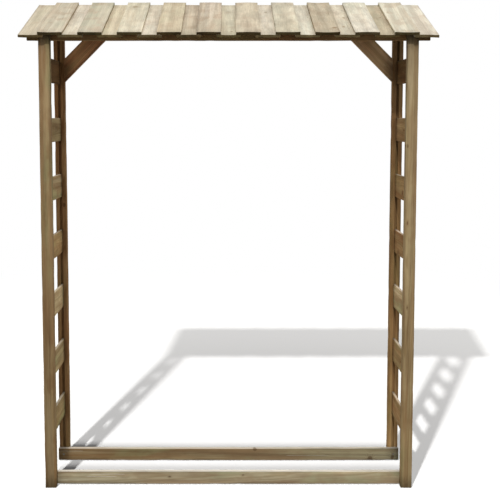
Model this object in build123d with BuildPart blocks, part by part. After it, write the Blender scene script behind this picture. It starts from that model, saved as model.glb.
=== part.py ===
"""Open garden log store: four grooved posts, slatted sides and a board-on-board pitched roof.

Millimetres. X runs to the right, Y to the back and Z up. The origin is on the ground, under
the middle of the roof. The front is the low side of the roof.
"""
import os
from math import cos, radians, sin, tan

from build123d import *

# Frame
frame_width = 1369.0
frame_depth = 363.0
front_post_height = 1674.0
post_width = 41.0
post_depth = 34.0
post_arris = 2.5

# Side slats, seated in a groove of each post
slat_count = 7
slat_height = 90.0
slat_thickness = 10.0
slat_arris = 1.5
first_slat_height = 187.0
top_slat_drop = 77.0
groove_depth = 12.0
slat_clearance = 0.3

# Bottom rails
rail_height = 48.0
rail_thickness = 22.0
rail_arris = 2.0
rail_ground_gap = 4.0

# Roof
roof_pitch = 19.0
side_overhang = 65.5
eave_overhang = 37.1
board_width = 88.0
board_thickness = 10.0
lower_board_count = 11

# Roof battens, bevelled to the pitch of the roof
batten_end_inset = 18.0
batten_thickness = 22.0
batten_height = 29.0
batten_arris = 1.5

# Braces between the back posts and the back batten
brace_width = 63.5
brace_thickness = 22.0
brace_angle = 45.0
brace_drop = 271.3

# Places that follow from the sizes above
front_face = -frame_depth / 2
back_face = frame_depth / 2
front_inner_face = front_face + post_depth
back_inner_face = back_face - post_depth
post_center_x = (frame_width - post_width) / 2
post_inner_x = frame_width / 2 - post_width
groove_width = slat_thickness + 2 * slat_clearance
slat_length = frame_depth - 2 * (post_depth - groove_depth) - 2 * slat_clearance
slat_rise = front_post_height - top_slat_drop - slat_height - first_slat_height
slat_pitch = slat_rise / (slat_count - 1)
pitch = radians(roof_pitch)
back_post_height = front_post_height + frame_depth * tan(pitch)
roof_width = frame_width + 2 * side_overhang
upper_board_count = lower_board_count - 1
board_pitch = (roof_width - board_width) / (lower_board_count - 1)
batten_length = roof_width - 2 * batten_end_inset

# The boards overhang the back a little more than the front, which centres the roof over the origin
back_overhang = eave_overhang + 2 * board_thickness * tan(pitch)
board_length = frame_depth / cos(pitch) + eave_overhang + back_overhang
board_middle = board_length / 2 - eave_overhang

# The underside of the roof boards; its local Y runs up the slope
roof_plane = Plane(
    origin=(0, front_face, front_post_height),
    x_dir=(1, 0, 0),
    z_dir=(0, -sin(pitch), cos(pitch)),
)


def roof_underside(y):
    """Height of the roof plane at a depth y."""
    return front_post_height + (y - front_face) * tan(pitch)


def write_piece(piece, name):
    """Label a finished piece and write it under its own name."""
    piece.part.label = name
    export_step(piece.part, f"parts/{name}.step")


def make_post(name, side, middle_y, groove_y):
    """A post with a full-length groove for the slats and its top cut to the roof's slope."""
    with BuildPart() as post:
        with BuildSketch():
            with Locations((side * post_center_x, middle_y)):
                RectangleRounded(post_width, post_depth, post_arris)
            with Locations((side * post_center_x, groove_y)):
                Rectangle(groove_width, 2 * groove_depth, mode=Mode.SUBTRACT)
        extrude(amount=back_post_height)
        split(bisect_by=roof_plane, keep=Keep.BOTTOM)
    write_piece(post, name)


def make_slat(name, side, bottom):
    """A side slat that runs from the groove of the front post to that of the back post."""
    slat_end = Plane(
        origin=(side * post_center_x, -slat_length / 2, bottom + slat_height / 2),
        x_dir=(1, 0, 0),
        z_dir=(0, 1, 0),
    )
    with BuildPart() as slat:
        with BuildSketch(slat_end):
            RectangleRounded(slat_thickness, slat_height, slat_arris)
        extrude(amount=slat_length)
    write_piece(slat, name)


def make_bottom_rail(name, middle_y):
    """A rail across two posts, as long as the frame is wide."""
    with BuildPart() as rail:
        with BuildSketch(Plane.YZ.offset(-frame_width / 2)):
            with Locations((middle_y, rail_ground_gap + rail_height / 2)):
                RectangleRounded(rail_thickness, rail_height, rail_arris)
        extrude(amount=frame_width)
    write_piece(rail, name)


def make_roof_batten(name, low_y):
    """A batten under the roof boards; low_y is its face on the low side of the roof."""
    bottom = roof_underside(low_y) - batten_height
    top = roof_underside(low_y + batten_thickness)
    with BuildPart() as batten:
        with BuildSketch(Plane.YZ.offset(-batten_length / 2)):
            with Locations((low_y, bottom)):
                Rectangle(batten_thickness, top - bottom, align=(Align.MIN, Align.MIN))
        extrude(amount=batten_length)
        split(bisect_by=roof_plane, keep=Keep.BOTTOM)
        long_edges = batten.edges().filter_by(Axis.X)
        fillet(long_edges.group_by(Axis.Z)[0], radius=batten_arris)
    write_piece(batten, name)


def make_brace(name, side):
    """A brace from a back post's inner face up behind the back batten to the boards."""
    slope = radians(brace_angle)
    foot_height = roof_underside(back_inner_face) - brace_drop
    head_height = roof_underside(back_inner_face + brace_thickness)
    run = (head_height - foot_height) / tan(slope)
    end_height = brace_width / cos(slope)
    foot = (side * post_inner_x, foot_height)
    head = (side * (post_inner_x - run), head_height)
    brace_face = Plane(origin=(0, back_inner_face, 0), x_dir=(1, 0, 0), z_dir=(0, -1, 0))
    with BuildPart() as brace:
        with BuildSketch(brace_face):
            with BuildLine():
                Polyline(
                    foot,
                    head,
                    (head[0], head[1] + end_height),
                    (foot[0], foot[1] + end_height),
                    close=True,
                )
            make_face()
        extrude(amount=-brace_thickness)
        split(bisect_by=roof_plane, keep=Keep.BOTTOM)
    write_piece(brace, name)


def make_roof_board(name, middle_x, layer):
    """A roof board that runs down the slope, in the lower layer (0) or the upper one (1)."""
    with BuildPart() as board:
        with BuildSketch(roof_plane.offset(layer * board_thickness)):
            with Locations((middle_x, board_middle)):
                Rectangle(board_width, board_length)
        extrude(amount=board_thickness)
    write_piece(board, name)


os.makedirs("parts", exist_ok=True)

for side_name, side in (("left", -1), ("right", 1)):
    make_post(f"front_{side_name}_post", side, front_face + post_depth / 2, front_inner_face)
    make_post(f"back_{side_name}_post", side, back_face - post_depth / 2, back_inner_face)
    for index in range(slat_count):
        make_slat(f"{side_name}_slat_{index + 1}", side, first_slat_height + index * slat_pitch)
    make_brace(f"{side_name}_brace", side)

make_bottom_rail("front_bottom_rail", front_inner_face + rail_thickness / 2)
make_bottom_rail("back_bottom_rail", back_inner_face - rail_thickness / 2)

make_roof_batten("front_roof_batten", front_inner_face)
make_roof_batten("back_roof_batten", back_inner_face - batten_thickness)

for index in range(lower_board_count):
    middle_x = (index - (lower_board_count - 1) / 2) * board_pitch
    make_roof_board(f"lower_roof_board_{index + 1:02d}", middle_x, 0)

for index in range(upper_board_count):
    middle_x = (index - (upper_board_count - 1) / 2) * board_pitch
    make_roof_board(f"upper_roof_board_{index + 1:02d}", middle_x, 1)
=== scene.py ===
"""Looks of the garden log store: weathered impregnated pine, nailed and screwed together.

Metres. Each length of timber is a section swept between two saw cuts, with softened arrises, a little
warp, drying checks and a solid pine texture whose year rings run through the faces and the ends alike.
"""

import math
import random

import bpy
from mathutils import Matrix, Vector, noise


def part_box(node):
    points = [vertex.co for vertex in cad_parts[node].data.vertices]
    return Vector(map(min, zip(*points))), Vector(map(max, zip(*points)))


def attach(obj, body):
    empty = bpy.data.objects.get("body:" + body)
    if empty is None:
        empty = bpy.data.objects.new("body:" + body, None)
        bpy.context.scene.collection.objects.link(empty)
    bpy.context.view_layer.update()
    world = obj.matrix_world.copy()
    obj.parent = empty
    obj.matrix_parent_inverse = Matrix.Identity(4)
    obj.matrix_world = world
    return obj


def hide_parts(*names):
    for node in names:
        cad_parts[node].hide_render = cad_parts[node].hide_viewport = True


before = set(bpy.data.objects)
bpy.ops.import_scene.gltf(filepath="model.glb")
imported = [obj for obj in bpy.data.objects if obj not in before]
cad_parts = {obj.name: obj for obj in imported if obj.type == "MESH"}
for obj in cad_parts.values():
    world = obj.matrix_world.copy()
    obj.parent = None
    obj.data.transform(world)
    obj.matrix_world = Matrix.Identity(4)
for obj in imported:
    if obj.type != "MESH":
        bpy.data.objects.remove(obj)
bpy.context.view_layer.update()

MM = 0.001

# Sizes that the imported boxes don't give
ROOF_PITCH = math.radians(19.0)
BRACE_WIDTH = 63.5 * MM
GROOVE_WIDTH = 10.6 * MM
GROOVE_DEPTH = 12.0 * MM
POST_ARRIS = 2.5 * MM
RAIL_ARRIS = 2.2 * MM
SLAT_ARRIS = 1.6 * MM
SAWN_ARRIS = 1.0 * MM
END_CHAMFER = 0.7 * MM

# Mesh density
ARC_STEPS = 3
FLAT_STEP = 8.0 * MM
RING_STEP = 15.0 * MM
FEWEST_RINGS = 6
END_RING = 3.5 * MM
SHARP_ANGLE = math.radians(38)

# How far a real length of timber strays from its drawing
SURFACE_RELIEF = 0.35 * MM
ARRIS_WEAR = 1.8 * MM
WEAR_THRESHOLD = 0.05
END_STRAY = 1.4 * MM

# Waves a metre of the relief and of the wear, across the timber and along it
RELIEF_ACROSS = 30
RELIEF_ALONG = 4
WEAR_ACROSS = 9
WEAR_ALONG = 22

# Drying checks: shares of the longest and deepest one, and how sharply one narrows at its ends
CHECK_WIDTH = 0.8 * MM
CHECK_LENGTH_SHARES = (0.3, 1.0)
CHECK_DEPTH_SHARES = (0.5, 1.0)
CHECK_BEFORE_END = (-0.5, 0.0)
CHECK_TAPER = 0.6

# Where the pith of the tree lay, seen from the middle of a section
PITH_NEAR = 25.0 * MM
PITH_FAR = 85.0 * MM
PITH_LEAN = 0.03
TREE_HEIGHT = 40.0
ANY_CUT = (0, math.pi)
FLAT_SAWN = (math.radians(62), math.radians(118))
FACE_SAWN = (math.radians(155), math.radians(180))

# How pieces differ from each other
RANDOM_SEED = 41
NOISE_REACH = 50
FIGURE_RANGE = (0.6, 1.2)
TINT_RANGE = (0.98, 1.02)
USUAL_KNOTS = 0.2

# Finishes: a colour that multiplies the pine's own. Some of them also paint light or shade onto a piece, as
# said where they are used
FINISHES = {
    "plain": (1.02, 0.98, 0.88),
    "brown": (0.93, 0.85, 0.77),
    "olive": (1.00, 0.93, 0.84),
    "khaki": (1.28, 1.44, 1.69),
    "bleached": (1.58, 1.75, 2.08),
    "light": (1.28, 1.26, 1.20),
    "silver": (1.18, 1.18, 1.24),
    "grey": (1.16, 1.09, 1.08),
    "damp_and_shade": (0.84, 0.75, 0.67),
    "russet": (1.15, 0.92, 0.76),
    "umber": (0.76, 0.64, 0.53),
    "bark": (0.55, 0.42, 0.31),
    "peat": (0.50, 0.36, 0.25),
    "moss": (1.02, 1.19, 1.38),
    "sand": (1.62, 1.62, 1.64),
    "honey": (1.22, 1.08, 0.92),
    "mahogany": (0.92, 0.66, 0.50),
    "rosy": (1.95, 1.68, 1.72),
    "chalk": (1.18, 1.22, 1.26),
    "red": (1.98, 1.36, 1.26),
    "white": (1.09, 1.11, 1.15),
    "pale": (1.05, 1.06, 1.07),
    "cream": (1.01, 1.00, 0.96),
    "buff": (1.06, 0.99, 0.88),
    "tan": (0.91, 0.84, 0.73),
    "fawn": (0.83, 0.76, 0.69),
    "clay": (0.88, 0.82, 0.77),
    "green": (0.88, 0.88, 0.84),
    "dark": (0.75, 0.68, 0.59),
}
# Slats from the bottom up; the lighter middle slats are partly painted light, and the dark top slats are
# painted shade under the roof
SLAT_FINISHES = {
    "left": ("plain", "light", "sand", "honey", "light", "plain", "peat"),
    "right": ("honey", "honey", "sand", "russet", "russet", "honey", "bark"),
}
LOWER_FINISHES = (
    "clay", "pale", "buff", "pale", "fawn", "green", "pale", "white", "pale", "dark", "chalk",
)
UPPER_FINISHES = (
    "cream", "green", "cream", "tan", "clay", "clay", "cream", "dark", "white", "white",
)

# How much figure, in streaks and stains, a roof board shows
LOWER_FIGURES = (1.0, 0.7, 1.0, 0.8, 0.9, 0.8, 0.7, 0.8, 0.8, 0.8, 1.0)
UPPER_FIGURES = (1.4, 1.2, 0.7, 0.9, 1.4, 0.7, 0.6, 0.8, 0.5, 1.2)

SIDES = {"left": -1, "right": 1}
X_AXIS = Vector((1, 0, 0))
Y_AXIS = Vector((0, 1, 0))
Z_AXIS = Vector((0, 0, 1))
UP_SLOPE = Vector((0, math.cos(ROOF_PITCH), math.sin(ROOF_PITCH)))
ROOF_NORMAL = Vector((0, -math.sin(ROOF_PITCH), math.cos(ROOF_PITCH)))


# Sections

def section(corners):
    """Outline points (u, v, arris) of a section, counter-clockwise, from corners (u, v, radius)."""
    points = []
    runs = []
    for index, (u, v, radius) in enumerate(corners):
        corner = Vector((u, v))
        to_last = (Vector(corners[index - 1][:2]) - corner).normalized()
        to_next = (Vector(corners[(index + 1) % len(corners)][:2]) - corner).normalized()
        if radius == 0:
            runs.append([(corner, 0.0)])
            continue
        half_angle = to_last.angle(to_next) / 2
        tangent = radius / math.tan(half_angle)
        centre = corner + (to_last + to_next).normalized() * radius / math.sin(half_angle)
        first = corner + to_last * tangent - centre
        last = corner + to_next * tangent - centre
        arc = []
        for step in range(ARC_STEPS + 1):
            ray = first.lerp(last, step / ARC_STEPS).normalized() * radius
            arc.append((centre + ray, 1.0))
        runs.append(arc)
    for index, run in enumerate(runs):
        points += [(p.x, p.y, arris) for p, arris in run]
        start, end = run[-1][0], runs[(index + 1) % len(runs)][0][0]
        steps = max(1, round((end - start).length / FLAT_STEP))
        for step in range(1, steps):
            p = start.lerp(end, step / steps)
            points.append((p.x, p.y, 0.0))
    return points


def box_section(width, height, arris):
    """A rectangle with softened arrises, centred on the axis."""
    u, v = width / 2, height / 2
    return section([(-u, -v, arris), (u, -v, arris), (u, v, arris), (-u, v, arris)])


def post_section(width, depth, groove_side):
    """A post's section, with the slats' groove in its +v (1) or -v (-1) face."""
    u, v, g = width / 2, depth / 2, GROOVE_WIDTH / 2
    floor = v - GROOVE_DEPTH
    corners = [
        (-u, -v, POST_ARRIS), (u, -v, POST_ARRIS), (u, v, POST_ARRIS), (g, v, 0),
        (g, floor, 0), (-g, floor, 0), (-g, v, 0), (-u, v, POST_ARRIS),
    ]
    return section([(groove_side * x, groove_side * y, r) for x, y, r in corners])


# Timber

def store(mesh, name, values, kind="FLOAT"):
    """Keep a number or a vector for each point of a mesh, for its material to read."""
    key = "value" if kind == "FLOAT" else "vector"
    mesh.attributes.new(name, kind, "POINT").data.foreach_set(key, values)


class Timber:
    """A length of timber: a section swept along an axis between two saw cuts."""

    def __init__(self, name, outline, origin, along, across, start, end):
        self.name = name
        self.outline = outline
        self.origin = Vector(origin)
        self.along = along
        self.across = across
        self.up = along.cross(across)
        self.start = start
        self.end = end
        self.draw = random.Random(f"{RANDOM_SEED} {name}")
        self.seed = Vector([self.draw.uniform(-NOISE_REACH, NOISE_REACH) for _ in range(3)])
        self.bow = [0.0, 0.0]
        self.cup = 0.0
        self.twist = 0.0
        self.checks = []
        # How much of the sun's bleach and of the painted top light this piece's upward faces take
        self.weathering_and_top_light = 1.0
        self.knots = USUAL_KNOTS
        self.figure = self.draw.uniform(*FIGURE_RANGE)
        self.pith_angles = ANY_CUT
        self.half_width = max(abs(u) for u, _, _ in outline)
        self.half_depth = None
        self.piece = None
        self.normals = self.outline_normals()

    def outline_normals(self):
        """The outward direction of the section at each outline point."""
        count = len(self.outline)
        normals = []
        for index in range(count):
            u0, v0, _ = self.outline[index - 1]
            u1, v1, _ = self.outline[(index + 1) % count]
            normals.append(Vector((v1 - v0, u0 - u1)).normalized())
        return normals

    def reach(self, cut, u, v):
        """How far along the axis a saw cut (point, normal) lies at a place in the section."""
        point, normal = cut
        place = self.origin + self.across * u + self.up * v
        return (Vector(point) - place).dot(normal) / self.along.dot(normal)

    def length(self, u=0, v=0):
        """The distance between the saw cuts at a place in the section."""
        return self.reach(self.end, u, v) - self.reach(self.start, u, v)

    def place(self, u, v, share):
        """A point of the warped timber, and its distance along the axis.

        The share runs from 0 at the start cut to 1 at the end cut.
        """
        first, last = self.reach(self.start, u, v), self.reach(self.end, u, v)
        t = first + (last - first) * share
        sag = 4 * share * (1 - share)
        turn = self.twist * (share - 0.5)
        curl = self.cup * (1 - (u / self.half_width) ** 2 * 2)
        du = self.bow[0] * sag - v * turn
        dv = self.bow[1] * sag + u * turn + curl
        return self.origin + self.along * t + self.across * (u + du) + self.up * (v + dv), t

    def surface(self, u, v, t):
        """The point of the warped timber at a distance t along its axis."""
        first, last = self.reach(self.start, u, v), self.reach(self.end, u, v)
        return self.place(u, v, (t - first) / (last - first))[0]

    def slide(self, stray):
        """Shift both saw cuts along the axis, by up to the amount given."""
        shift = self.along * self.draw.uniform(-stray, stray)
        self.start = (Vector(self.start[0]) + shift, self.start[1])
        self.end = (Vector(self.end[0]) + shift, self.end[1])

    def warp(self, bow=0.0, cup=0.0, twist=0.0):
        """Draw this piece's own warp, up to the amounts given."""
        self.bow = [self.draw.uniform(-bow, bow), self.draw.uniform(-bow, bow)]
        self.cup = self.draw.uniform(-cup, cup)
        self.twist = self.draw.uniform(-twist, twist)
        return self

    def dry(self, count, longest, depth):
        """Draw drying checks: shallow cracks that run along flats of the section."""
        flats = [i for i, (_, _, arris) in enumerate(self.outline) if arris == 0]
        for _ in range(count):
            span = self.draw.uniform(*CHECK_LENGTH_SHARES) * longest / self.length()
            across_end = self.draw.uniform(*CHECK_BEFORE_END)
            inside = self.draw.uniform(0.0, 1.0 - span)
            first = self.draw.choice((across_end, inside))
            flat = self.draw.choice(flats)
            own_depth = depth * self.draw.uniform(*CHECK_DEPTH_SHARES)
            self.checks.append((flat, first, first + span, own_depth))
        return self

    def shares(self):
        """Ring positions along the timber, closer together at the two ends."""
        length = self.length()
        count = max(FEWEST_RINGS, round(length / RING_STEP))
        inner = [i / count for i in range(1, count)]
        ends = [END_CHAMFER / length, END_RING / length]
        return [0.0] + ends + inner + [1 - s for s in reversed(ends)] + [1.0]

    def ring(self, share):
        """One ring of points, with the relief, worn arrises and checks of the surface."""
        cut_end = share in (0.0, 1.0)
        points = []
        for index, (u, v, arris) in enumerate(self.outline):
            normal = self.normals[index]
            _, t = self.place(u, v, share)
            relief = Vector((u * RELIEF_ACROSS, v * RELIEF_ACROSS, t * RELIEF_ALONG)) + self.seed
            out = noise.noise(relief) * SURFACE_RELIEF
            if arris:
                wear = Vector((t * WEAR_ALONG, u * WEAR_ACROSS, v * WEAR_ACROSS)) - self.seed
                out -= max(0.0, noise.noise(wear) - WEAR_THRESHOLD) * ARRIS_WEAR
            if cut_end:
                out -= END_CHAMFER
            for middle, first, last, depth in self.checks:
                if middle == index and first < share < last:
                    inside = (share - first) / (last - first)
                    out -= depth * math.sin(math.pi * inside) ** CHECK_TAPER
            point, _ = self.place(u + normal.x * out, v + normal.y * out, share)
            points.append(point)
        return points

    def narrow_checks(self):
        fresh = []
        for index, (u, v, arris) in enumerate(self.outline):
            if all(check[0] != index for check in self.checks):
                fresh.append(((u, v, arris), index))
                continue
            side = Vector((-self.normals[index].y, self.normals[index].x)) * CHECK_WIDTH
            fresh.append(((u - side.x, v - side.y, arris), None))
            fresh.append(((u, v, arris), index))
            fresh.append(((u + side.x, v + side.y, arris), None))
        renumber = {old: new for new, (_, old) in enumerate(fresh) if old is not None}
        self.outline = [point for point, _ in fresh]
        self.checks = [(renumber[c[0]], *c[1:]) for c in self.checks]
        self.normals = self.outline_normals()

    def grain_shift(self):
        """Where the pith lies beside this piece, how far up the tree it was cut, and the pith's lean."""
        angle = self.draw.choice((-1, 1)) * self.draw.uniform(*self.pith_angles)
        distance = self.draw.uniform(PITH_NEAR, PITH_FAR)
        lean = [self.draw.uniform(-PITH_LEAN, PITH_LEAN) for _ in range(2)]
        tree_height = self.draw.uniform(0, TREE_HEIGHT)
        return distance * math.cos(angle), distance * math.sin(angle), tree_height, lean

    def shade(self, finish):
        """A finish's colour, a little different on each piece."""
        return Vector([c * self.draw.uniform(*TINT_RANGE) for c in FINISHES[finish]])

    def faces(self, ring_count):
        """The flanks between the rings, from the start cut on, and then the two ends."""
        count = len(self.outline)
        faces = []
        for ring in range(ring_count - 1):
            for index in range(count):
                a, b = ring * count + index, ring * count + (index + 1) % count
                faces.append((a, b, b + count, a + count))
        last = (ring_count - 1) * count
        faces.append(tuple(reversed(range(count))))
        faces.append(tuple(range(last, last + count)))
        return faces

    def store_looks(self, mesh, shares, finish):
        """Keep what the pine's material reads at each point, such as its place in the tree and its tint."""
        pith_u, pith_v, tree_height, lean = self.grain_shift()
        first_tint, last_tint = [self.shade(name) for name in finish]
        grain, edges, ends, tint = [], [], [], []
        for share in shares:
            ring_tint = first_tint.lerp(last_tint, share)
            for u, v, arris in self.outline:
                _, t = self.place(u, v, share)
                grain += [u - pith_u + lean[0] * t, v - pith_v + lean[1] * t, t + tree_height]
                edges.append(arris)
                ends.append(min(share, 1 - share) * self.length(u, v))
                tint.extend(ring_tint)
        count = len(edges)
        store(mesh, "grain", grain, "FLOAT_VECTOR")
        store(mesh, "arris", edges)
        store(mesh, "end_distance", ends)
        store(mesh, "weathering_and_top_light", [self.weathering_and_top_light] * count)
        store(mesh, "tint", tint, "FLOAT_VECTOR")
        store(mesh, "figure", [self.figure] * count)
        store(mesh, "knots", [self.knots] * count)

    def build(self, finish, side_material, end_material):
        """Make the mesh object; finish names its colour at the start cut and at the end cut."""
        self.narrow_checks()
        shares = self.shares()
        count = len(self.outline)
        vertices = [p for share in shares for p in self.ring(share)]
        faces = self.faces(len(shares))
        mesh = bpy.data.meshes.new(self.name)
        mesh.from_pydata(vertices, [], faces)
        self.store_looks(mesh, shares, finish)

        # The end material also covers the chamfer round each end
        mesh.materials.append(side_material)
        mesh.materials.append(end_material)
        flanks = [0] * (len(faces) - 2 * count - 2)
        mesh.polygons.foreach_set("material_index", [1] * count + flanks + [1] * (count + 2))
        mesh.polygons.foreach_set("use_smooth", [True] * len(faces))
        mesh.set_sharp_from_angle(angle=SHARP_ANGLE)
        mesh.update()
        piece = bpy.data.objects.new(self.name, mesh)
        bpy.context.scene.collection.objects.link(piece)
        return piece


# Materials

class Nodes:
    """Short calls for building one material's nodes; values may be numbers, colours or sockets."""

    def __init__(self, tree):
        self.tree = tree
        self.tree.nodes.clear()

    def add(self, kind, values=None, **settings):
        """A new node, with its settings and the values of its inputs."""
        node = self.tree.nodes.new(kind)
        for key, value in settings.items():
            setattr(node, key, value)
        for key, value in (values or {}).items():
            self.feed(node.inputs[key], value)
        return node

    def feed(self, socket, value):
        """Link a socket to an input, or set the input's value."""
        if isinstance(value, bpy.types.NodeSocket):
            self.tree.links.new(value, socket)
        else:
            socket.default_value = value

    def math(self, operation, a, b=0.0, c=0.0):
        """An operation on numbers."""
        return self.add("ShaderNodeMath", {0: a, 1: b, 2: c}, operation=operation).outputs[0]

    def vector(self, operation, a, b=(0, 0, 0)):
        """An operation on vectors."""
        return self.add("ShaderNodeVectorMath", {0: a, 1: b}, operation=operation).outputs[0]

    def length(self, a):
        """The length of a vector."""
        return self.add("ShaderNodeVectorMath", {0: a}, operation="LENGTH").outputs["Value"]

    def scale(self, a, factor):
        """A vector times a number."""
        values = {0: a, "Scale": factor}
        return self.add("ShaderNodeVectorMath", values, operation="SCALE").outputs[0]

    def split(self, a):
        """The three parts of a vector."""
        return self.add("ShaderNodeSeparateXYZ", {0: a}).outputs

    def join(self, x, y, z):
        """A vector of three numbers."""
        return self.add("ShaderNodeCombineXYZ", {0: x, 1: y, 2: z}).outputs[0]

    def noise(self, place, waves, detail=2.0, roughness=0.5, apart=None):
        """Noise in 0 to 1, with its own waves a metre along each axis, apart from other noises."""
        if apart:
            place = self.vector("ADD", place, apart)
        scaled = self.vector("MULTIPLY", place, waves)
        values = {"Vector": scaled, "Scale": 1.0, "Detail": detail, "Roughness": roughness}
        return self.add("ShaderNodeTexNoise", values).outputs

    def step(self, value, low, high, to_low=0.0, to_high=1.0):
        """A smooth step from to_low to to_high as value goes from low to high."""
        values = {"Value": value, "From Min": low, "From Max": high, "To Min": to_low, "To Max": to_high}
        return self.add("ShaderNodeMapRange", values, interpolation_type="SMOOTHSTEP").outputs[0]

    def mix(self, share, a, b):
        """Colour a, with a share of colour b."""
        return self.add("ShaderNodeMix", {0: share, 6: a, 7: b}, data_type="RGBA").outputs[2]

    def attribute(self, name):
        """What a mesh keeps under a name."""
        return self.add("ShaderNodeAttribute", attribute_name=name).outputs


def new_material(name):
    """An empty material, and its nodes."""
    material = bpy.data.materials.new(name)
    material.use_nodes = True
    return material, Nodes(material.node_tree)


def rgb(red, green, blue):
    """A colour as a socket takes it."""
    return (red, green, blue, 1.0)


WHITE = rgb(1, 1, 1)

# Pine's figure: waves a metre, twice across the grain and once along it
WANDER_WAVES = (5, 5, 1.4)
BULGE_WAVES = (55, 55, 30)
RAGGED_WAVES = (150, 150, 60)
RING_WAVES = (34, 34, 5)
FIBRE_WAVES = (800, 800, 13)
STREAK_WAVES = (60, 60, 1.5)
BROWN_WAVES = (17, 17, 2.3)
GREEN_WAVES = (15, 15, 3.4)
STAIN_WAVES = (19, 19, 8)
ROOF_STAIN_WAVES = (16, 16, 14)
BAND_WAVES = (48, 48, 0.9)
PALE_WAVES = (26, 26, 0.9)
DARK_WAVES = (30, 30, 1.5)
MOTTLE_WAVES = (24, 24, 9)
SAW_WAVES = (9, 9, 300)

# Year rings and knots; a knot's sizes are shares of the cell that it may lie in
RINGS_A_METRE = 265.0
RING_WANDER = 1.3
RING_PUSH = 2.2
PITH_WANDER = 16 * MM
KNOT_CELLS_AROUND = 0.55
KNOT_CELLS_A_METRE = 7.0
KNOT_BULGE_SHARES = (0.045, 0.065, 0)
KNOT_RADIUS_SHARES = (0.025, 0.07)
KNOT_RAGGEDNESS = 0.5
KNOT_RINGS = 24.0
KNOT_COVER = 0.75
HALO_COVER = 0.35
LINE_DARKNESS = 0.5
NO_KNOT = 0.0001

# Shades that darken or lighten the colour, and how far from an end the darkening from damp and painted shade
# reaches
FIBRE_SHADES = (0.84, 1.14)
BAND_SHADES = (-0.17, 0.15)
CLOUD_SHADES = (-0.14, 0.12)
ARRIS_SHADES = (-0.24, 0.12)
DAMP_AND_SHADE_REACH = (0.01, 0.085)
DAMP_AND_SHADE_RAGGEDNESS = 0.03

BUMP_STRENGTH = 0.45
BUMP_DEPTH = 0.6 * MM
WOOD_SPECULAR = 0.04


def knots_in(n, grain, x, y, z, ragged):
    """Branches that leave the pith, met by the faces here and there.

    Gives where a knot is, the halo round it, and the dark lines of its rim, its rings and its heart.
    """
    around = n.math("MULTIPLY", n.math("ARCTAN2", y, x), KNOT_CELLS_AROUND)
    cells = n.join(around, n.math("MULTIPLY", z, KNOT_CELLS_A_METRE), 0.0)
    bulge = n.noise(grain, BULGE_WAVES)["Color"]
    cells = n.vector("ADD", cells, n.vector("MULTIPLY", bulge, KNOT_BULGE_SHARES))
    values = {"Vector": cells, "Scale": 1.0}
    cell = n.add("ShaderNodeTexVoronoi", values, voronoi_dimensions="2D").outputs
    chance, size, _ = n.split(cell["Color"])
    radius = n.step(size, 0.0, 1.0, *KNOT_RADIUS_SHARES)
    clear_share = n.math("SUBTRACT", 1.0, n.attribute("knots")["Fac"])
    radius = n.math("MULTIPLY", radius, n.math("GREATER_THAN", chance, clear_share))
    nearness = n.math("DIVIDE", cell["Distance"], n.math("ADD", radius, NO_KNOT))
    nearness = n.math("SUBTRACT", nearness, KNOT_RAGGEDNESS / 2)
    nearness = n.math("MULTIPLY_ADD", ragged, KNOT_RAGGEDNESS, nearness)

    inside = n.step(nearness, 0.7, 1.1, 1.0, 0.0)
    halo = n.step(nearness, 0.8, 2.8, 1.0, 0.0)
    rim = n.math("MULTIPLY", n.step(nearness, 0.7, 0.95), n.step(nearness, 1.0, 1.35, 1.0, 0.0))
    rings = n.math("SINE", n.math("MULTIPLY", nearness, KNOT_RINGS))
    rings = n.math("MULTIPLY", n.step(rings, -1.0, 1.0, 0.0, 0.4), inside)
    heart = n.step(nearness, 0.1, 0.4, 0.55, 0.0)
    dark_lines = n.math("MAXIMUM", n.math("MULTIPLY", rim, 0.5), n.math("MAXIMUM", rings, heart))
    return inside, halo, dark_lines


def latewood_in(n, grain, x, y, halo):
    """The dark part of each year ring, pushed aside by the knots."""
    ring_noise = n.noise(grain, RING_WAVES)["Fac"]
    phase = n.math("MULTIPLY", n.length(n.join(x, y, 0.0)), RINGS_A_METRE)
    phase = n.math("MULTIPLY_ADD", ring_noise, RING_WANDER, phase)
    phase = n.math("MULTIPLY_ADD", halo, RING_PUSH, phase)
    place_in_ring = n.math("FRACT", phase)
    growing = n.step(place_in_ring, 0.35, 0.86)
    ending = n.step(place_in_ring, 0.9, 1.0, 1.0, 0.0)
    return n.math("MULTIPLY", growing, ending)


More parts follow.
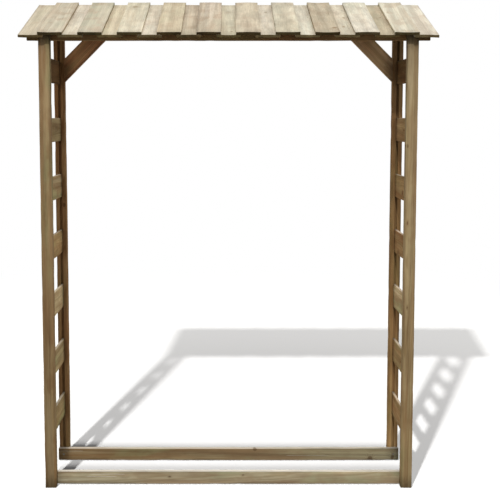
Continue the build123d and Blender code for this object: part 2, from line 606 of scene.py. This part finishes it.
def pine(
    name, early, late, brown, green, pale, bleach, knot,
    rings, patches, streaks, lines, stains, clouds, bleaching, damp_and_shade,
    stain_waves=STAIN_WAVES, saw_marks=0.0, sheltered_and_shaded=(1, 1, 1),
):
    """Impregnated pine as a solid texture: year rings, knots, brown and green patches, tops bleached by the
    sun and lightened by painted top light, ends darkened by damp and painted shade.
    """
    material, n = new_material(name)
    grain = n.attribute("grain")["Vector"]
    figure = n.attribute("figure")["Fac"]
    ragged = n.noise(grain, RAGGED_WAVES)["Fac"]

    def figured(pattern, low, high, most):
        """The share of a pattern that shows on a piece with this much figure."""
        return n.math("MULTIPLY", n.step(pattern, low, high, 0.0, most), figure)

    # The tree wanders a little about its pith
    wander = n.noise(grain, WANDER_WAVES, detail=1.5)["Color"]
    bent = n.vector("ADD", grain, n.vector("MULTIPLY", wander, (PITH_WANDER, PITH_WANDER, 0)))
    x, y, z = n.split(bent)
    inside, halo, dark_lines = knots_in(n, grain, x, y, z, ragged)
    latewood = latewood_in(n, grain, x, y, halo)

    # Uneven salts: brown and green patches, streaks along the grain and a fine mottle
    fibre = n.noise(grain, FIBRE_WAVES, detail=3.0, roughness=0.65)["Fac"]
    streak = n.noise(grain, STREAK_WAVES, detail=2.5)["Fac"]
    brown_patch = n.noise(grain, BROWN_WAVES, apart=(3, 7, 11))["Fac"]
    green_patch = n.noise(grain, GREEN_WAVES, detail=2.5, apart=(9, 4, 23))["Fac"]
    stain = n.noise(grain, stain_waves, detail=3.0, roughness=0.6, apart=(4, 6, 2))["Fac"]
    band = n.noise(grain, BAND_WAVES, apart=(5, 2, 7))["Fac"]
    pale_streak = n.noise(grain, PALE_WAVES, detail=1.5, apart=(2, 8, 3))["Fac"]
    dark_streak = n.noise(grain, DARK_WAVES, detail=1.5, apart=(6, 1, 5))["Fac"]
    mottle = n.noise(grain, MOTTLE_WAVES, detail=3.0, roughness=0.6)["Fac"]

    # Colours in the order in which they cover each other
    colour = n.mix(n.math("MULTIPLY", latewood, rings), rgb(*early), rgb(*late))
    for share, layer in (
        (figured(streak, 0.45, 0.66, 0.6 * lines), brown),
        (figured(brown_patch, 0.48, 0.68, patches), brown),
        (figured(green_patch, 0.48, 0.66, patches), green),
        (figured(stain, 0.48, 0.66, stains), brown),
        (figured(pale_streak, 0.55, 0.64, streaks), pale),
        (figured(dark_streak, 0.56, 0.65, streaks), brown),
        (n.math("MULTIPLY", halo, HALO_COVER), brown),
        (n.math("MULTIPLY", inside, KNOT_COVER), knot),
        (dark_lines, [c * LINE_DARKNESS for c in knot]),
    ):
        colour = n.mix(share, colour, rgb(*layer))
    colour = n.vector("MULTIPLY", colour, n.attribute("tint")["Vector"])

    # Faces that look down take the sheltered colour: less weathered, and painted shade. Faces that look up
    # are bleached by the sun and lightened by painted top light, knots less so
    facing = n.split(n.add("ShaderNodeNewGeometry").outputs["Normal"])[2]
    shelter_and_shade = n.mix(n.step(facing, -0.5, 0.35), rgb(*sheltered_and_shaded), WHITE)
    colour = n.vector("MULTIPLY", colour, shelter_and_shade)
    bleached = n.step(inside, 0.0, 1.0, bleaching, bleaching * 0.3)
    sun = n.math("MULTIPLY", n.step(facing, 0.3, 0.75), bleached)
    sun = n.math("MULTIPLY", sun, n.attribute("weathering_and_top_light")["Fac"])
    colour = n.mix(sun, colour, rgb(*bleach))

    # Fine fibres, bands, clouds, arrises lighter where worn and darker as painted shade, and ends darkened
    # by damp and painted shade
    bands = n.step(band, 0.32, 0.68, *[shade * lines for shade in BAND_SHADES])
    banding = n.math("MULTIPLY_ADD", bands, figure, 1.0)
    cloud = n.step(mottle, 0.3, 0.7, *[shade * clouds for shade in CLOUD_SHADES])
    clouding = n.math("MULTIPLY_ADD", cloud, n.math("SUBTRACT", 1.4, figure), 1.0)
    shade = n.step(fibre, 0.25, 0.75, *FIBRE_SHADES)
    shade = n.math("MULTIPLY", shade, n.math("MULTIPLY", banding, clouding))
    # Arrises: lighter where worn, darker as painted shade
    worn_and_shaded = n.step(brown_patch, 0.38, 0.62, *ARRIS_SHADES)
    shade = n.math("MULTIPLY_ADD", n.attribute("arris")["Fac"], worn_and_shaded, shade)
    # Ends darken from damp in the end grain and from painted shade at joints and under the roof
    from_end = n.math("MULTIPLY_ADD", ragged, DAMP_AND_SHADE_RAGGEDNESS, n.attribute("end_distance")["Fac"])
    shade = n.math("MULTIPLY", shade, n.step(from_end, *DAMP_AND_SHADE_REACH, damp_and_shade, 1.0))
    colour = n.scale(colour, shade)

    relief = n.math("ADD", n.math("MULTIPLY", latewood, 0.35), n.math("MULTIPLY", fibre, 0.65))
    relief = n.math("MULTIPLY_ADD", inside, 0.6, relief)
    if saw_marks:
        saw = n.noise(grain, SAW_WAVES, detail=1.5, apart=(1, 3, 9))["Fac"]
        relief = n.math("MULTIPLY_ADD", saw, saw_marks, relief)
    values = {"Height": relief, "Strength": BUMP_STRENGTH, "Distance": BUMP_DEPTH}
    bump = n.add("ShaderNodeBump", values).outputs[0]
    shader = n.add("ShaderNodeBsdfPrincipled", {
        "Base Color": colour,
        "Roughness": n.step(fibre, 0.2, 0.8, 0.86, 0.98),
        "Normal": bump,
        "Specular IOR Level": WOOD_SPECULAR,
    })
    n.add("ShaderNodeOutputMaterial", {"Surface": shader.outputs[0]})
    return material


def end_grain(name, **colours):
    """Sawn ends, with strong rings and little else."""
    return pine(
        name, rings=0.9, patches=0.5, streaks=0.2, lines=1.0, stains=0.6, clouds=1.0, bleaching=0.6,
        damp_and_shade=0.84, **colours,
    )


def steel(name, bright, dull, metallic):
    """Zinc-coated steel, dulled by weathering."""
    material, n = new_material(name)
    place = n.add("ShaderNodeTexCoord").outputs["Object"]
    spots = n.noise(place, (700, 700, 700), detail=3.0)["Fac"]
    shader = n.add("ShaderNodeBsdfPrincipled", {
        "Base Color": n.mix(n.step(spots, 0.42, 0.66), rgb(*bright), rgb(*dull)),
        "Roughness": n.step(spots, 0.3, 0.7, 0.5, 0.8),
        "Metallic": metallic,
    })
    n.add("ShaderNodeOutputMaterial", {"Surface": shader.outputs[0]})
    return material


frame_pine = pine(
    "frame_pine", early=(0.370, 0.283, 0.152), late=(0.270, 0.187, 0.090), brown=(0.245, 0.152, 0.074),
    green=(0.288, 0.256, 0.126), pale=(0.430, 0.345, 0.205), bleach=(0.76, 0.70, 0.60),
    knot=(0.150, 0.085, 0.040), rings=0.75, patches=0.78, streaks=0.45, lines=1.0, stains=0.6, clouds=1.0,
    bleaching=0.92, damp_and_shade=0.42,
)
# The roof's pale colours partly paint the top light; its sheltered colour darkens the boards' sides and
# undersides, partly as painted shade
roof_pine = pine(
    "roof_pine", early=(0.666, 0.608, 0.473), late=(0.560, 0.483, 0.352), brown=(0.530, 0.429, 0.309),
    green=(0.530, 0.502, 0.372), pale=(0.772, 0.729, 0.618), bleach=(0.695, 0.642, 0.521),
    knot=(0.400, 0.290, 0.175), rings=0.5, patches=0.7, streaks=0.28, lines=0.65, stains=0.95, clouds=1.5,
    bleaching=0.22, damp_and_shade=0.9, stain_waves=ROOF_STAIN_WAVES, saw_marks=1.0, sheltered_and_shaded=(0.46, 0.38, 0.28),
)
frame_end_grain = end_grain(
    "frame_end_grain", early=(0.215, 0.150, 0.068), late=(0.125, 0.080, 0.034), brown=(0.150, 0.092, 0.040),
    green=(0.160, 0.132, 0.056), pale=(0.240, 0.175, 0.085), bleach=(0.34, 0.28, 0.19),
    knot=(0.090, 0.052, 0.025),
)
upper_end_grain = end_grain(
    "upper_end_grain", early=(0.105, 0.078, 0.033), late=(0.062, 0.044, 0.019), brown=(0.072, 0.049, 0.021),
    green=(0.082, 0.070, 0.029), pale=(0.120, 0.090, 0.040), bleach=(0.34, 0.28, 0.17),
    knot=(0.060, 0.036, 0.017),
)
lower_end_grain = end_grain(
    "lower_end_grain", early=(0.200, 0.152, 0.072), late=(0.125, 0.088, 0.038), brown=(0.145, 0.096, 0.042),
    green=(0.160, 0.135, 0.060), pale=(0.230, 0.178, 0.090), bleach=(0.40, 0.33, 0.21),
    knot=(0.090, 0.055, 0.026),
)
dark_zinc = steel("dark_zinc", bright=(0.17, 0.155, 0.13), dull=(0.085, 0.062, 0.042), metallic=0.7)
pale_zinc = steel("pale_zinc", bright=(0.46, 0.43, 0.36), dull=(0.33, 0.28, 0.20), metallic=0.35)


# Pieces

def dress(timber, finish, sides=frame_pine, ends=frame_end_grain):
    """Build a timber in place of the node that it is named after; finish is a name, or one for each end."""
    node = timber.name
    timber.name = f"{node}_timber"
    both_ends = (finish, finish) if isinstance(finish, str) else finish
    piece = timber.build(both_ends, sides, ends)
    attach(piece, "root")
    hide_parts(node)
    timber.piece = piece
    return timber


def measure(node):
    """A node's lowest and highest corners, its middle and its size."""
    low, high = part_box(node)
    return low, high, (low + high) / 2, high - low


def make_post(node, groove_side, finish):
    """A grooved post, its top cut to the roof's slope."""
    low, high, middle, size = measure(node)
    post = Timber(
        node, post_section(size.x, size.y, groove_side), (middle.x, middle.y, 0), Z_AXIS, X_AXIS,
        (low, Z_AXIS), ((middle.x, high.y, high.z), ROOF_NORMAL),
    )
    post.half_depth = size.y / 2
    post.warp(bow=0.8 * MM, twist=0.006).dry(count=3, longest=0.5, depth=3.0 * MM)
    return dress(post, finish)


def make_slat(node, finish):
    """A side slat, its ends in the posts' grooves."""
    low, high, middle, size = measure(node)
    slat = Timber(
        node, box_section(size.z, size.x, SLAT_ARRIS), middle, Y_AXIS, Z_AXIS, (low, Y_AXIS), (high, Y_AXIS),
    )
    # Less bleach and less painted top light on the slats' tops, under the roof
    slat.weathering_and_top_light = 0.4
    slat.pith_angles = FLAT_SAWN
    slat.warp(bow=0.6 * MM, cup=0.5 * MM).dry(count=1, longest=0.12, depth=1.2 * MM)
    return dress(slat, finish)


def make_rail(node, finish, figure, weathering_and_top_light, knots):
    """A bottom rail."""
    low, high, middle, size = measure(node)
    rail = Timber(
        node, box_section(size.y, size.z, RAIL_ARRIS), middle, X_AXIS, Y_AXIS, (low, X_AXIS), (high, X_AXIS),
    )
    rail.weathering_and_top_light = weathering_and_top_light
    rail.knots = knots
    rail.pith_angles = FACE_SAWN
    rail.figure = figure
    rail.half_depth = size.y / 2
    rail.warp(bow=0.8 * MM, twist=0.008).dry(count=3, longest=0.4, depth=2.2 * MM)
    return dress(rail, finish)


def make_batten(node, finish):
    """A roof batten, its top bevelled to the roof's slope."""
    low, high, middle, size = measure(node)
    low_side_top = size.z / 2 - size.y * math.tan(ROOF_PITCH)
    u, v = size.y / 2, size.z / 2
    outline = section([
        (-u, -v, SAWN_ARRIS), (u, -v, SAWN_ARRIS), (u, v, SAWN_ARRIS), (-u, low_side_top, SAWN_ARRIS),
    ])
    batten = Timber(node, outline, middle, X_AXIS, Y_AXIS, (low, X_AXIS), (high, X_AXIS))
    batten.half_depth = u
    batten.warp(bow=0.5 * MM).dry(count=2, longest=0.3, depth=1.5 * MM)
    return dress(batten, finish)


def make_brace(node, side, finish):
    """A brace from the left (-1) or right (1) post, its foot plumb and its head on the roof's slope."""
    low, high, middle, size = measure(node)
    slope = math.atan2(size.z, size.x)
    along = Vector((-side * math.cos(slope), 0, math.sin(slope)))
    upward = Vector((side * math.sin(slope), 0, math.cos(slope)))
    foot = Vector((high.x if side > 0 else low.x, middle.y, low.z))
    brace = Timber(
        node, box_section(BRACE_WIDTH, size.y, SAWN_ARRIS), foot + upward * BRACE_WIDTH / 2, along, upward,
        (foot, X_AXIS), ((middle.x, high.y, high.z), ROOF_NORMAL),
    )
    brace.warp(bow=0.4 * MM).dry(count=1, longest=0.15, depth=1.5 * MM)
    return dress(brace, finish)


def make_roof_board(node, finish, figure, ends):
    """A roof board; its length and thickness follow from the box that its slope fills."""
    low, high, middle, size = measure(node)
    c, s = math.cos(ROOF_PITCH), math.sin(ROOF_PITCH)
    length = (size.y * c - size.z * s) / (c * c - s * s)
    thickness = (size.z * c - size.y * s) / (c * c - s * s)
    board = Timber(
        node, box_section(size.x, thickness, SAWN_ARRIS), middle, UP_SLOPE, -X_AXIS,
        (middle - UP_SLOPE * length / 2, UP_SLOPE), (middle + UP_SLOPE * length / 2, UP_SLOPE),
    )
    board.slide(END_STRAY)
    board.pith_angles = FLAT_SAWN
    board.figure = figure
    board.half_depth = thickness / 2
    board.warp(bow=0.7 * MM, cup=0.8 * MM, twist=0.012).dry(count=2, longest=0.16, depth=1.6 * MM)
    return dress(board, finish, roof_pine, ends)


def make_roof_layer(layer, finishes, figures, ends):
    """The boards of one layer of the roof, from left to right."""
    boards = []
    for number, (finish, figure) in enumerate(zip(finishes, figures), start=1):
        boards.append(make_roof_board(f"{layer}_roof_board_{number:02d}", finish, figure, ends))
    return boards


# The front posts' finishes run from a darker foot to a lighter top: painted light
front_posts = [
    make_post("front_left_post", 1, ("damp_and_shade", "grey")),
    make_post("front_right_post", 1, ("olive", "silver")),
]
# The back posts' dark finishes are partly painted shade
back_posts = [
    make_post("back_left_post", -1, ("umber", "mahogany")),
    make_post("back_right_post", -1, ("russet", "umber")),
]
for side_name, finishes in SLAT_FINISHES.items():
    for number, finish in enumerate(finishes, start=1):
        make_slat(f"{side_name}_slat_{number}", finish)
front_rail = make_rail("front_bottom_rail", ("khaki", "bleached"), figure=0.85, weathering_and_top_light=1.0, knots=0.2)
back_rail = make_rail("back_bottom_rail", ("brown", "moss"), figure=1.0, weathering_and_top_light=0.6, knots=0.95)
front_batten = make_batten("front_roof_batten", "russet")
back_batten = make_batten("back_roof_batten", "brown")
# The braces' red and rosy finishes are brightened partly as painted light, against the roof's shade
braces = [make_brace("left_brace", -1, "red"), make_brace("right_brace", 1, "rosy")]
lower_boards = make_roof_layer("lower", LOWER_FINISHES, LOWER_FIGURES, lower_end_grain)
upper_boards = make_roof_layer("upper", UPPER_FINISHES, UPPER_FIGURES, upper_end_grain)


# Fixings

NAIL_RADIUS = 2.0 * MM
BRAD_RADIUS = 1.5 * MM
SCREW_RADIUS = 4.2 * MM
HEAD_RISE = 0.4 * MM
HEAD_SIDES = 16
ARM_SPACING = HEAD_SIDES // 4

# Rings of a head: its radius at the four arms and between them, and its height, as shares of the head's
NAIL_SHARES = ((1.0, 1.0, -1.0), (1.0, 1.0, 0.4), (0.8, 0.8, 0.8), (0.4, 0.4, 1.0))
SCREW_SHARES = (
    (1.0, 1.0, -1.0), (1.0, 1.0, 0.5), (0.88, 0.88, 1.0), (0.62, 0.24, 1.0), (0.40, 0.18, -3.5),
)

# Where the fixings sit, and how far each strays
LOWER_NAIL_SPREAD = 16 * MM
UPPER_NAIL_SPREAD = 27 * MM
NAIL_STRAY_ACROSS = 4 * MM
NAIL_STRAY_ALONG = 5 * MM
BRACE_SCREW_ALONG = 75 * MM
BRAD_STRAY = 12 * MM


class Fixings:
    """Nail and screw heads of one kind, gathered into one mesh."""

    def __init__(self):
        self.points = []
        self.faces = []

    def head(self, place, outward, turn, radius, shares):
        """Add a head, made of rings of points and closed at its last ring."""
        across = outward.orthogonal().normalized()
        other = outward.cross(across)
        first = len(self.points)
        for arm, waist, height in shares:
            for step in range(HEAD_SIDES):
                angle = 2 * math.pi * step / HEAD_SIDES
                ray = across * math.cos(angle + turn) + other * math.sin(angle + turn)
                share = waist if step % ARM_SPACING else arm
                self.points.append(place + ray * (radius * share) + outward * (HEAD_RISE * height))
        for ring in range(len(shares) - 1):
            for step in range(HEAD_SIDES):
                a = first + ring * HEAD_SIDES + step
                b = first + ring * HEAD_SIDES + (step + 1) % HEAD_SIDES
                self.faces.append((a, b, b + HEAD_SIDES, a + HEAD_SIDES))
        self.faces.append(tuple(range(len(self.points) - HEAD_SIDES, len(self.points))))

    def nail(self, place, outward, radius):
        """A low domed head."""
        self.head(place, outward, 0, radius, NAIL_SHARES)

    def screw(self, place, outward, turn):
        """A sunk head with a cross recess."""
        self.head(place, outward, turn, SCREW_RADIUS, SCREW_SHARES)

    def build(self, name, material):
        """Make the mesh object of all the heads."""
        mesh = bpy.data.meshes.new(name)
        mesh.from_pydata(self.points, [], self.faces)
        mesh.materials.append(material)
        piece = bpy.data.objects.new(name, mesh)
        bpy.context.scene.collection.objects.link(piece)
        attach(piece, "root")


def stray(draw, most):
    """A random distance, up to the most given, either way."""
    return draw.uniform(-most, most)


def nail_roof(fixings):
    """Two nails through each roof board into each batten."""
    for boards, spread in ((lower_boards, LOWER_NAIL_SPREAD), (upper_boards, UPPER_NAIL_SPREAD)):
        for board in boards:
            for batten in (front_batten, back_batten):
                up_slope = (batten.origin.y - board.origin.y) / math.cos(ROOF_PITCH)
                for side in (-1, 1):
                    u = side * spread + stray(board.draw, NAIL_STRAY_ACROSS)
                    t = up_slope + stray(board.draw, NAIL_STRAY_ALONG)
                    fixings.nail(board.surface(u, board.half_depth, t), ROOF_NORMAL, NAIL_RADIUS)


def screw_frame(fixings, draw):
    """Screws through the rails and battens into the posts and braces, and through each brace's foot."""
    for cross_piece, posts, outward in (
        (front_rail, front_posts, Y_AXIS), (front_batten, front_posts, Y_AXIS),
        (back_rail, back_posts, -Y_AXIS), (back_batten, back_posts, -Y_AXIS),
    ):
        for post in posts:
            place = cross_piece.surface(outward.y * cross_piece.half_depth, 0, post.origin.x)
            fixings.screw(place, outward, draw.uniform(0, math.pi))
    for brace in braces:
        climb = (back_batten.origin.z - brace.origin.z) / brace.along.z
        crossing = brace.origin + brace.along * climb
        place = back_batten.surface(-back_batten.half_depth, 0, crossing.x)
        fixings.screw(place, -Y_AXIS, draw.uniform(0, math.pi))
        foot = brace.surface(-BRACE_WIDTH / 2, 0, BRACE_SCREW_ALONG)
        fixings.screw(foot, -brace.across, draw.uniform(0, math.pi))


def pin_slats(fixings, draw):
    """A brad from the outside of each post through the slat in its groove."""
    for posts, groove_side in ((front_posts, 1), (back_posts, -1)):
        for post, (side_name, side) in zip(posts, SIDES.items()):
            for number in range(1, len(SLAT_FINISHES[side_name]) + 1):
                _, _, slat, _ = measure(f"{side_name}_slat_{number}")
                v = groove_side * (post.half_depth - GROOVE_DEPTH / 2)
                place = post.surface(side * post.half_width, v, slat.z + stray(draw, BRAD_STRAY))
                fixings.nail(place, side * X_AXIS, BRAD_RADIUS)


draw = random.Random(RANDOM_SEED)
roof_nails, frame_screws, slat_brads = Fixings(), Fixings(), Fixings()
nail_roof(roof_nails)
screw_frame(frame_screws, draw)
pin_slats(slat_brads, draw)
roof_nails.build("roof_nails", pale_zinc)
frame_screws.build("frame_screws", dark_zinc)
slat_brads.build("slat_brads", dark_zinc)


# Stage

# The floor: its colours to the camera and to bounced light, and the distances at which they change
FLOOR_REACH = 60.0
FLOOR_NEAR = 0.5
FLOOR_FAR = 3.2
FLOOR_END = 5.5
NEAR_COLOUR = rgb(0.173, 0.1715, 0.169)
FAR_COLOUR = rgb(0.226, 0.224, 0.220)
BOUNCE_COLOUR = rgb(0.046, 0.0455, 0.045)

ROOF_MIDDLE = Vector((0, 0, 1.74))

# The camera
CAMERA_PLACE = (0, -3.9461, 1.3764)
CAMERA_LOOKS_DOWN = 5.335
CAMERA_LENS = 74.643
CAMERA_SHIFT = (0.043, -0.07)
SENSOR_WIDTH = 36.0


def seen_share(n):
    """1 where the camera sees a surface, also mirrored or through glass, and 0 in bounced light."""
    rays = n.add("ShaderNodeLightPath").outputs
    mirrored = n.math("MAXIMUM", rays["Is Glossy Ray"], rays["Is Transmission Ray"])
    return n.math("MAXIMUM", rays["Is Camera Ray"], mirrored)


def make_floor():
    """A pale floor that keeps the shadow, white to the camera and darker to bounced light."""
    corners = [(x * FLOOR_REACH, y * FLOOR_REACH, 0) for x, y in ((-1, -1), (1, -1), (1, 1), (-1, 1))]
    mesh = bpy.data.meshes.new("floor")
    mesh.from_pydata(corners, [], [(0, 1, 2, 3)])
    material, n = new_material("floor")
    seen = seen_share(n)
    away = n.length(n.add("ShaderNodeNewGeometry").outputs["Position"])
    pale = n.mix(n.step(away, FLOOR_NEAR, FLOOR_FAR), NEAR_COLOUR, FAR_COLOUR)
    near = n.add("ShaderNodeBsdfDiffuse", {"Color": n.mix(seen, BOUNCE_COLOUR, pale)})
    far = n.add("ShaderNodeEmission", {"Color": WHITE, "Strength": seen})
    fade = n.step(away, FLOOR_FAR, FLOOR_END)
    shader = n.add("ShaderNodeMixShader", {0: fade, 1: near.outputs[0], 2: far.outputs[0]})
    n.add("ShaderNodeOutputMaterial", {"Surface": shader.outputs[0]})
    mesh.materials.append(material)
    floor = bpy.data.objects.new("floor", mesh)
    bpy.context.scene.collection.objects.link(floor)
    return floor


def link_light(lamp, floor, on_floor):
    """Let a lamp light the floor alone, or all but the floor."""
    linked = bpy.data.collections.new(f"{lamp.name}_floor")
    linked.objects.link(floor)
    linked.collection_objects[0].light_linking.link_state = "INCLUDE" if on_floor else "EXCLUDE"
    lamp.light_linking.receiver_collection = linked


def shade_only_by(lamp, pieces):
    """Let only the pieces given throw a shadow in a lamp's light."""
    blockers = bpy.data.collections.new(f"{lamp.name}_blockers")
    for piece in pieces:
        blockers.objects.link(piece)
    lamp.light_linking.blocker_collection = blockers


def make_key(name, light, size, shadow, lamp_share, floor, on_floor):
    """A disc lamp to the front left that throws the roof's shadow behind the store.

    The lamp lies on the line from the shadow's middle through the roof's, lamp_share times as far again.
    """
    lamp = bpy.data.lights.new(name, "AREA")
    lamp.shape = "DISK"
    lamp.size = size
    key = bpy.data.objects.new(name, lamp)
    toward = ROOF_MIDDLE - Vector((*shadow, 0))
    key.location = ROOF_MIDDLE + toward * lamp_share
    key.rotation_euler = toward.to_track_quat("Z", "Y").to_euler()
    lamp.energy = light * math.pi * (toward.length * lamp_share) ** 2
    bpy.context.scene.collection.objects.link(key)
    link_light(key, floor, on_floor)


def make_sun(name, bearing, elevation, strength, width, floor, on_floor):
    """A soft distant lamp; bearing is its angle to the left of the camera's side, in degrees."""
    lamp = bpy.data.lights.new(name, "SUN")
    lamp.energy = strength
    lamp.angle = math.radians(width)
    sun = bpy.data.objects.new(name, lamp)
    b, e = math.radians(bearing), math.radians(elevation)
    toward = Vector((-math.sin(b) * math.cos(e), -math.cos(b) * math.cos(e), math.sin(e)))
    sun.rotation_euler = toward.to_track_quat("Z", "Y").to_euler()
    bpy.context.scene.collection.objects.link(sun)
    link_light(sun, floor, on_floor)
    return sun


def make_sky(base, overhead, sideways):
    """An even sky, with some more light from overhead and from both sides; the camera sees plain white."""
    world = bpy.data.worlds.new("studio")
    bpy.context.scene.world = world
    world.use_nodes = True
    n = Nodes(world.node_tree)
    x, _, z = n.split(n.add("ShaderNodeTexCoord").outputs["Generated"])
    level = n.math("MULTIPLY_ADD", n.math("MULTIPLY", z, z), overhead, base)
    level = n.math("MULTIPLY_ADD", n.math("MULTIPLY", x, x), sideways, level)
    values = {0: seen_share(n), 2: level, 3: 1.0}
    strength = n.add("ShaderNodeMix", values, data_type="FLOAT").outputs[0]
    background = n.add("ShaderNodeBackground", {"Color": WHITE, "Strength": strength})
    n.add("ShaderNodeOutputWorld", {"Surface": background.outputs[0]})


def make_camera():
    """A camera in front of the store that looks a little down."""
    data = bpy.data.cameras.new("camera")
    data.sensor_width = SENSOR_WIDTH
    data.lens = CAMERA_LENS
    data.shift_x, data.shift_y = CAMERA_SHIFT
    camera = bpy.data.objects.new("camera", data)
    camera.location = CAMERA_PLACE
    camera.rotation_euler = (math.radians(90 - CAMERA_LOOKS_DOWN), 0, 0)
    bpy.context.scene.collection.objects.link(camera)
    bpy.context.scene.camera = camera


floor = make_floor()
make_sky(base=0.52, overhead=0.15, sideways=0.6)
make_key(
    "object_key", light=1.2, size=0.5, shadow=(0.14, 2.4), lamp_share=4.8, floor=floor, on_floor=False,
)
make_key(
    "floor_key", light=19.8, size=0.35, shadow=(0.60, 2.35), lamp_share=3.76, floor=floor, on_floor=True,
)
make_sun("back_fill", bearing=200, elevation=38, strength=1.0, width=40, floor=floor, on_floor=False)
floor_fill = make_sun(
    "floor_fill", bearing=5, elevation=14.0, strength=30, width=6, floor=floor, on_floor=True,
)
shade_only_by(floor_fill, [front_rail.piece, back_rail.piece])
make_camera()
bpy.context.scene.view_settings.view_transform = "Standard"
